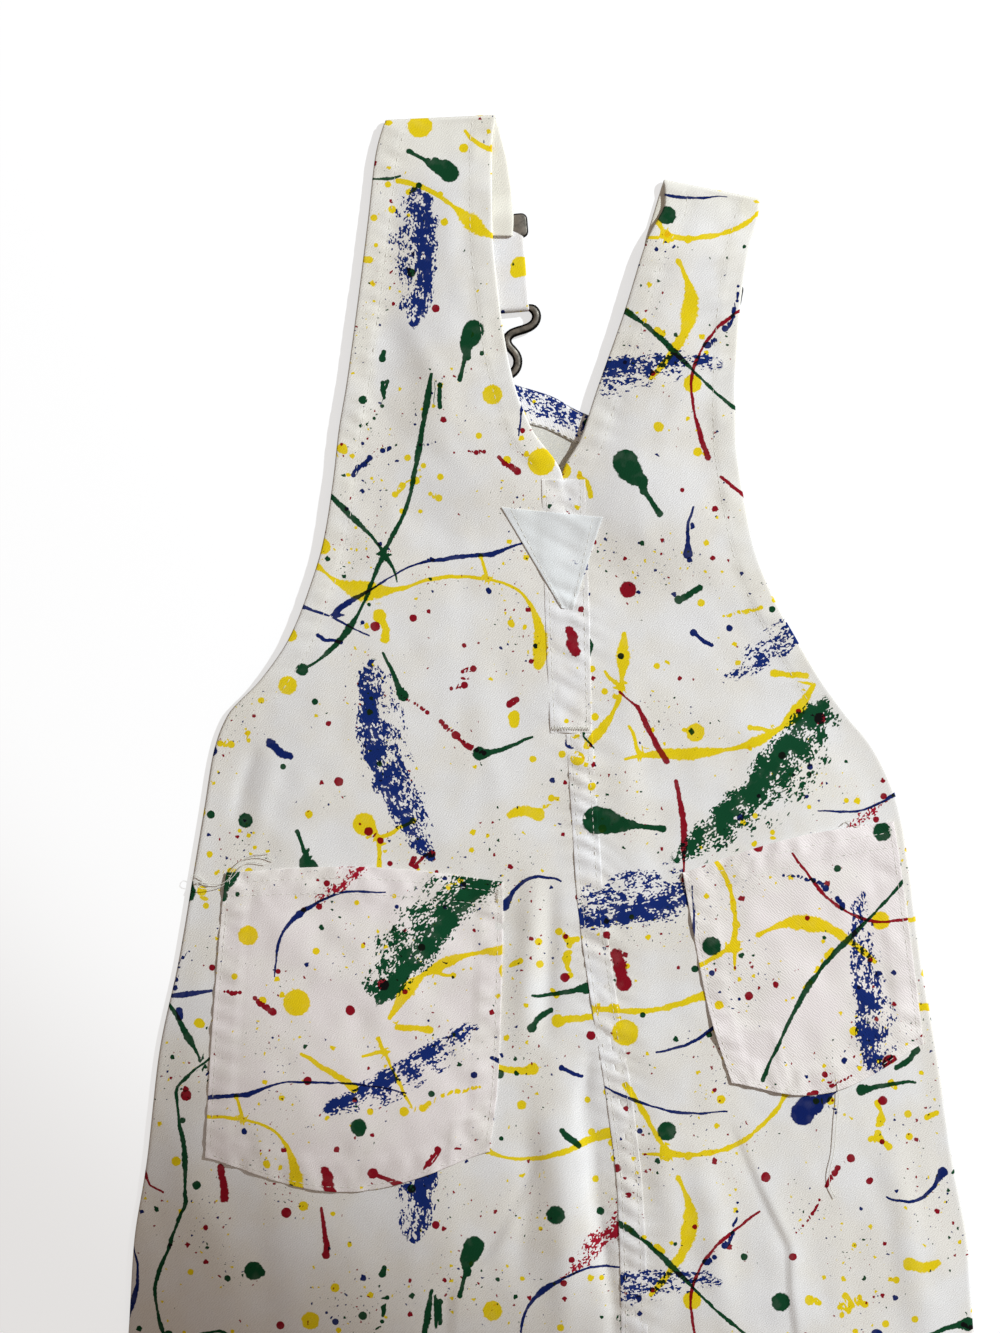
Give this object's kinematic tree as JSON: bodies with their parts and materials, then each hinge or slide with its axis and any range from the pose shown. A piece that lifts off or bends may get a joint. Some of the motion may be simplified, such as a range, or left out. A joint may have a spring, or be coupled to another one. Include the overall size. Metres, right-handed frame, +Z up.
{
  "type": "child's bib overalls laid flat",
  "caption": "Child's bib overalls in printed cotton twill, laid flat with the back up: wide straps cut in one with the back, patch pockets, bib, strap sliders and wire hooks.",
  "frame": {"origin": "middle of the garment's box, on the surface it lies on", "axes": "+Z up out of the back of the garment, +Y from the leg hems to the straps, +X to the right of someone looking down at it"},
  "size_m": [0.3408, 0.891, 0.0067],
  "materials": {
    "printed_twill": "off-white cotton twill with a printed spatter of yellow, red, blue and green",
    "pocket_twill": "slightly whiter cotton twill with the same printed spatter",
    "patch_cloth": "smooth bare woven patch",
    "antique_metal": "dark antique finish, worn paler on the high spots"
  },
  "bodies": {
    "root": {"strap_left": "printed_twill", "strap_right": "printed_twill", "back_left": "printed_twill", "back_right": "printed_twill", "back_band": "printed_twill", "back_fell": "printed_twill", "front_left": "printed_twill", "front_right": "printed_twill", "bib": "printed_twill", "bib_facing": "printed_twill", "strap_loop_left": "printed_twill", "strap_loop_right": "printed_twill", "pocket_left": "pocket_twill", "pocket_right": "pocket_twill", "neck_patch": "patch_cloth", "slider_left": "antique_metal", "slider_right": "antique_metal", "hook_left": "antique_metal", "hook_right": "antique_metal", "bib_button_left": "antique_metal", "bib_button_right": "antique_metal"}
  },
  "joints": []
}
